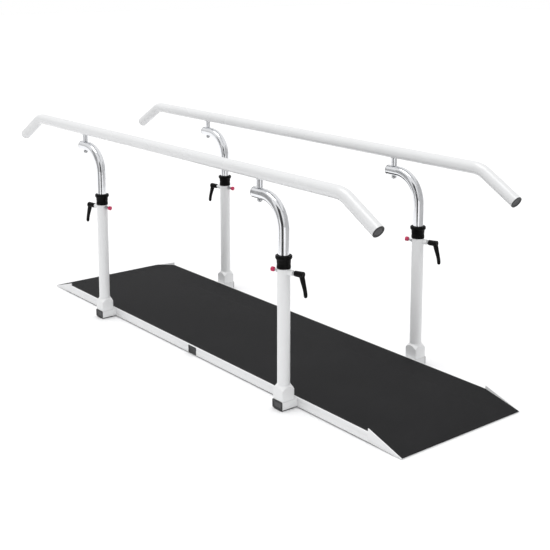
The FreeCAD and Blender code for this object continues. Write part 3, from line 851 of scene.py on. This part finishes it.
def end_plug(name, radius, wall):
    """A plug along Z: its insert below zero and its flange above."""
    insert = radius - wall - 0.0001
    outline = [(insert - 0.0015, -plug_insert), (insert - 0.0004, -plug_insert + 0.002)]
    for fin in range(4):
        level = -plug_insert + 0.0035 + fin * 0.0035
        outline += [(insert - 0.0006, level), (insert, level + 0.0004), (insert, level + 0.0012),
                    (insert - 0.0006, level + 0.0018)]
    outline += [(insert - 0.0006, -0.0001), (radius - 0.0004, 0.0), (radius, 0.0004)]
    outline += rounded_corner((radius - 0.0018, plug_flange - 0.0018), 0.0018, 0, 90, 5)
    sunk = radius * 0.66
    outline += [(sunk + 0.0012, plug_flange), (sunk + 0.0004, plug_flange - 0.0004),
                (sunk, plug_flange - 0.0014), (radius * 0.2, plug_flange - 0.0016)]
    plug = finish_shape(turned_piece(name, outline), smooth=38)
    coat(plug, grey)
    # The sunk centre is coloured the lighter grey.
    face_finish(plug, lighter_grey, lambda at, way: (at.z > plug_flange - 0.0018
                                              and math.hypot(at.x, at.y) < sunk))
    return plug


plug = end_plug("plug_master", gooseneck_radius, neck_wall)
facing = Matrix.Rotation(-math.pi / 2, 4, "Y")
plug.data.transform(Matrix.Translation((-arm_end, 0, arm_height)) @ facing)
for post in posts:
    piece = copy_to_post(plug, "neck_plug_", post)
    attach(piece, "gooseneck_" + post)
    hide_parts("gooseneck_plug_" + post)
bpy.data.objects.remove(plug)

# ---- Clamp levers ----------------------------------------------------------------------
# Glass-filled nylon levers, moulded in one with their hubs. The hub lifts on a spring to
# free its spline, and a black button with a sunk centre hides the screw's end.
lever_nylon, spot = new_finish("glass_filled_nylon", Specular_IOR_Level=0.10)
grain = spot.noise(1600, 3)
flow = spot.noise(70, 3)
lay(lever_nylon, relief=grain, depth=0.0001,
    Base_Color=flow.ramp((0.3, (0.003, 0.003, 0.003)), (0.8, (0.006, 0.006, 0.006))),
    Roughness=(flow * 0.5 + grain * 0.5).spread(0.26, 0.46))
hub_start = 0.0522
hub_end = 0.0922
button_floor = hub_end - 0.0030
outline = [(0.0098, hub_start)] + rounded_corner((0.0104, hub_start + 0.0008), 0.0008, -60, 0, 2)
outline += [(0.0114, hub_start + 0.006), (0.0116, hub_start + 0.018), (0.0122, hub_start + 0.030)]
outline += rounded_corner((0.0103, hub_end - 0.0022), 0.0022, 0, 90, 5)
hub = point_out(finish_shape(turned_piece("lever_master", outline), smooth=60), lever_height)
# The arm hangs from the hub and leans out: its reach, drop, thickness and width on the way.
arm_path = ((0.0825, 0.002, 0.0100, 0.0098), (0.0845, -0.009, 0.0108, 0.0100),
            (0.0868, -0.018, 0.0107, 0.0098), (0.0900, -0.030, 0.0099, 0.0092),
            (0.0940, -0.043, 0.0089, 0.0085), (0.0977, -0.056, 0.0082, 0.0079),
            (0.1002, -0.068, 0.0079, 0.0076), (0.1012, -0.077, 0.0078, 0.0075),
            (0.1014, -0.0822, 0.0071, 0.0069), (0.1014, -0.0855, 0.0055, 0.0054),
            (0.1014, -0.0872, 0.0027, 0.0027))
reach, drop, thick, wide = arm_path[0]
arm = begin("circle", "arm", vertices=40, radius=1, location=(reach, 0, lever_height + drop),
            fill_type="NGON")
bpy.ops.transform.resize(value=(thick, wide, 1), center_override=(reach, 0, lever_height + drop))
for next_reach, next_drop, next_thick, next_wide in arm_path[1:]:
    extrude(x=next_reach - reach, z=next_drop - drop)
    bpy.ops.transform.resize(value=(next_thick / thick, next_wide / wide, 1),
                             center_override=(next_reach, 0, lever_height + next_drop))
    reach, drop, thick, wide = next_reach, next_drop, next_thick, next_wide
combine(hub, finish_shape(arm, smooth=60), "UNION")
blend = hub.modifiers.new("blend", "REMESH")
blend.mode = "VOXEL"
blend.voxel_size = 0.0009
bpy.ops.object.modifier_apply(modifier="blend")
soft = hub.modifiers.new("soft", "SMOOTH")
soft.factor = 0.5
soft.iterations = 8
bpy.ops.object.modifier_apply(modifier="soft")
screw_room = tool_rod(0.0072, hub_start - 0.002, hub_start + 0.022, sides=48)
combine(hub, point_out(screw_room, lever_height))
button_seat = tool_rod(0.0078, button_floor, hub_end + 0.002, sides=48)
combine(hub, point_out(button_seat, lever_height))
bpy.ops.object.select_all(action="DESELECT")
hub.select_set(True)
bpy.ops.object.shade_smooth_by_angle(angle=math.radians(40))
coat(hub, lever_nylon)
outline = [(0.0074, button_floor), (0.0076, hub_end - 0.0028), (0.0076, hub_end - 0.0006),
           (0.0072, hub_end - 0.0001), (0.0040, hub_end)]
button = turned_piece("button_master", outline, sides=48)
pick("FACE", lambda at, way: way.z > 0.99 and math.hypot(at.x, at.y) < 0.001)
bpy.ops.mesh.inset(thickness=0.0010, depth=0)
extrude(z=-0.002)
point_out(finish_shape(button), lever_height)
coat(button, lever_nylon)
for post in posts:
    piece = copy_to_post(hub, "clamp_lever_", post, turned=True)
    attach(piece, "lever_handle_" + post)
    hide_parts("lever_handle_" + post)
    cover = copy_to_post(button, "lever_button_", post, turned=True)
    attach(cover, "lever_handle_" + post)
bpy.data.objects.remove(hub)
bpy.data.objects.remove(button)

# ---- Index pins ------------------------------------------------------------------------
# A turned steel pin with a knob of red nylon moulded on its end. Twelve flutes let the
# fingers pull it, and its nose drops into one of the gooseneck's ring grooves.
red, spot = new_finish("moulded_nylon_red", Specular_IOR_Level=0.5, Coat_Weight=0.15, Coat_Roughness=0.2)
flow = spot.noise(90, 3)
lay(red, relief=spot.noise(1500, 2), depth=0.0001,
    Base_Color=flow.ramp((0.3, (0.52, 0.018, 0.085)), (0.8, (0.62, 0.035, 0.125))),
    Roughness=flow.spread(0.28, 0.44))
steel, spot = new_finish("zinc_plate", Metallic=1.0)
cloud = spot.noise(120, 4)
turning = spot.noise(1500, 2)
lay(steel, relief=turning, depth=0.00003,
    Base_Color=cloud.ramp((0.25, (0.50, 0.51, 0.52)), (0.8, (0.68, 0.69, 0.70))),
    Roughness=(cloud * 0.6 + turning * 0.4).spread(0.22, 0.42))
knob_start = 0.0415
knob_end = 0.0585
knob_radius = 0.0095
knob_flutes = 12
outline = [(0.0060, knob_start), (0.0065, knob_start + 0.0004), (0.0063, knob_start + 0.0030)]
outline += rounded_corner((knob_radius - 0.0012, knob_start + 0.0056), 0.0012, -60, 0, 3)
outline += [(knob_radius, knob_start + 0.0075), (knob_radius, knob_end - 0.0040)]
outline += rounded_corner((knob_radius - 0.0022, knob_end - 0.0028), 0.0022, 10, 80, 4)
outline += [(0.0045, knob_end - 0.0001), (0.0015, knob_end)]
knob = turned_piece("knob_master", outline, sides=96)


def is_knob_flute(at, way):
    share = math.atan2(at.y, at.x) / (2 * math.pi / knob_flutes)
    outside = at.z > knob_start + 0.004 and math.hypot(at.x, at.y) > 0.0075
    return outside and abs(share - round(share)) < 0.2


pick("VERT", is_knob_flute)
bpy.ops.transform.resize(value=(0.90, 0.90, 1), center_override=(0, 0, knob_start))
finish_shape(knob, smooth=50)
point_out(knob, lever_height, -1)
coat(knob, red)
pin_radius = 0.0029
pin_nose = 0.0238
outline = [(0.0022, pin_nose), (pin_radius, pin_nose + 0.0007), (pin_radius, 0.0450), (0.0022, 0.0455)]
rod = finish_shape(turned_piece("rod_master", outline, sides=32))
point_out(rod, lever_height, -1)
coat(rod, steel)
for post in posts:
    piece = copy_to_post(knob, "pin_knob_", post, turned=True)
    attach(piece, "index_pin_" + post)
    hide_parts("index_pin_" + post)
    shaft = copy_to_post(rod, "pin_rod_", post, turned=True)
    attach(shaft, "index_pin_" + post)
bpy.data.objects.remove(knob)
bpy.data.objects.remove(rod)

# ---- Handrails -------------------------------------------------------------------------
# Steel tube 50 mm across and 2.7 m long, its ends bent down out of the way. It is powder-
# coated smooth, for the hands, and stands on two spacers that are welded under it.
rail_coat, spot = new_finish("powder_coat_smooth", Specular_IOR_Level=0.5, Coat_Weight=0.2,
                             Coat_Roughness=0.12)
peel = spot.noise(420, 2)
haze = spot.stretched(0.4, 1, 1).noise(6, 4)
lay(rail_coat, relief=peel, depth=0.00004,
    Base_Color=haze.ramp((0.3, (0.685, 0.69, 0.695)), (0.75, (0.71, 0.715, 0.72))),
    Roughness=haze.spread(0.24, 0.31))
rail_radius = 0.025
rail_wall = 0.002
rail_bend = 0.120
rail_slope = math.radians(30)
drop_run = 0.180
for side_name in ("left", "right"):
    low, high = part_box("handrail_" + side_name)
    plug_low, plug_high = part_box("handrail_plugs_" + side_name)
    y = (low.y + high.y) / 2
    centre = (plug_low.x + plug_high.x) / 2
    half_rail = (plug_high.x - plug_low.x) / 2 - rail_radius * math.sin(rail_slope)
    end_low = plug_low.z + rail_radius * math.cos(rail_slope)
    start = Vector((centre - half_rail, y, end_low))
    uphill = Vector((math.cos(rail_slope), 0, math.sin(rail_slope)))
    start += uphill * plug_flange
    rail = begin("circle", "handrail_tube_" + side_name, vertices=96, radius=rail_radius, location=start,
                 rotation=(0, math.pi / 2 - rail_slope, 0))
    extrude()
    inside = 1 - rail_wall / rail_radius
    bpy.ops.transform.resize(value=(inside, inside, inside), center_override=start)
    select_all()
    corner = centre - half_rail + drop_run
    lead = rail_bend * math.tan(rail_slope / 2)
    straight = (corner - start.x) / math.cos(rail_slope) - lead
    extrude(*(uphill * straight))
    arc_start = start + uphill * straight
    arc_centre = arc_start + Vector((math.sin(rail_slope), 0, -math.cos(rail_slope))) * rail_bend
    bpy.ops.mesh.spin(steps=10, angle=-rail_slope, center=arc_centre, axis=(0, 1, 0))
    extrude(x=2 * (centre - corner - lead))
    arc_centre.x = 2 * centre - arc_centre.x
    bpy.ops.mesh.spin(steps=10, angle=-rail_slope, center=arc_centre, axis=(0, 1, 0))
    extrude(uphill.x * straight, 0, -uphill.z * straight)
    finish_shape(rail, smooth=30)
    coat(rail, rail_coat)
    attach(rail, "handrail_" + side_name)
    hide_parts("handrail_" + side_name)
    # The ends take plugs like the goosenecks', one size larger.
    ends = []
    for end in (1, -1):
        stop = end_plug("rail_plugs_" + side_name, rail_radius, rail_wall)
        end_place = Vector((centre + end * (centre - start.x), y, start.z))
        facing = Matrix.Rotation(end * (math.pi / 2 + rail_slope), 4, "Y")
        stop.data.transform(Matrix.Translation(end_place) @ facing)
        ends.append(stop)
    plugs = joined(*ends)
    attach(plugs, "handrail_" + side_name)
    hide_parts("handrail_plugs_" + side_name)

# ---- Pivot studs and nuts --------------------------------------------------------------
# Two chromed spacers are welded under each handrail, and their studs drop through the
# goosenecks. A zinc-plated domed nut closes each stud's end below.
spacer_radius = 0.013
nut_height = 0.009
for side_name in ("left", "right"):
    stud_low, stud_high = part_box("pivot_studs_" + side_name)
    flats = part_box("pivot_nuts_" + side_name)[1].z - nut_height
    rail_low, rail_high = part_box("handrail_" + side_name)
    y = (rail_low.y + rail_high.y) / 2
    crown = rail_high.z - rail_radius
    spacer_foot = arm_height + gooseneck_radius + 0.0003
    studs = []
    nuts = []
    for x in (stud_low.x + spacer_radius, stud_high.x - spacer_radius):
        outline = [(stud_radius - 0.001, flats), (stud_radius, flats + 0.001),
                   (stud_radius, spacer_foot), (spacer_radius - 0.0008, spacer_foot),
                   (spacer_radius, spacer_foot + 0.0008), (spacer_radius, crown - 0.0225),
                   (spacer_radius, crown - 0.0200)]
        stud = finish_shape(turned_piece("rail_studs_" + side_name, outline, sides=48, at=(x, y)))
        studs += [stud, weld_run("run", spacer_radius + 0.0006, crown - 0.0235, 0.0014, (x, y), 22)]
        nut = begin("cylinder", "dome_nuts_" + side_name, vertices=6, radius=nut_corner,
                    depth=nut_height, location=(x, y, flats + nut_height / 2))
        finish_shape(nut, edge=0.0004)
        outline = [(0.0020, flats - 0.0040), (0.0046, flats - 0.0036), (0.0066, flats - 0.0026),
                   (0.0078, flats - 0.0012), (0.0082, flats + 0.0001), (0.0082, flats + 0.001)]
        dome = finish_shape(turned_piece("dome", outline, sides=48, at=(x, y)), smooth=50)
        nuts.append(combine(nut, dome, "UNION"))
    studs = joined(*studs)
    coat(studs, chrome)
    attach(studs, "handrail_" + side_name)
    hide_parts("pivot_studs_" + side_name)
    nuts = joined(*nuts)
    coat(nuts, steel)
    bpy.ops.object.shade_smooth_by_angle(angle=math.radians(35))
    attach(nuts, "handrail_" + side_name)
    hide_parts("pivot_nuts_" + side_name)

# ---- Boards ----------------------------------------------------------------------------
# Birch plywood deck boards between the cross tubes, sealed, with their plies showing at
# the edges. The rubber hides their tops.
plywood, spot = new_finish("birch_plywood", Specular_IOR_Level=0.3)
figure = spot.stretched(1, 12, 1).noise(7, 5, 0.6)
plies = spot.node("ShaderNodeTexWave", {"bands_direction": "Z"},
                  {"Vector": spot, "Scale": 110.0, "Distortion": 0.4})
wood = figure * 0.7 + plies * 0.3
lay(plywood, relief=figure, depth=0.0002,
    Base_Color=wood.ramp((0.25, (0.38, 0.25, 0.13)), (0.75, (0.66, 0.50, 0.31))),
    Roughness=figure.spread(0.45, 0.65))
for place in ("inner", "outer"):
    coat(frame["nodes"]["deck_boards_" + place], plywood)

# ---- Screws, bushes, pads and sleeves --------------------------------------------------
# Zinc-plated screws, clamp screws and pin sleeves, natural acetal bushes inside the
# collars, and brass pads that press on the goosenecks.
acetal, spot = new_finish("natural_acetal", Specular_IOR_Level=0.5)
cloud = spot.noise(80, 3)
lay(acetal, relief=spot.noise(1200, 2), depth=0.00005,
    Base_Color=cloud.ramp((0.3, (0.74, 0.74, 0.70)), (0.8, (0.82, 0.82, 0.79))),
    Roughness=cloud.spread(0.3, 0.42))
brass, spot = new_finish("turned_brass", Metallic=1.0)
cloud = spot.noise(140, 4)
lay(brass, relief=spot.noise(1500, 2), depth=0.00003,
    Base_Color=cloud.ramp((0.3, (0.62, 0.44, 0.18)), (0.8, (0.76, 0.58, 0.28))),
    Roughness=cloud.spread(0.25, 0.4))
finishes = {"board_screws": steel, "ramp_screws": steel, "plunger_sleeves": steel, "clamp_pads": brass}
for post in posts:
    finishes["lever_screw_" + post] = steel
    finishes["guide_bush_" + post] = acetal
for name, finish in finishes.items():
    coat(frame["nodes"][name], finish)
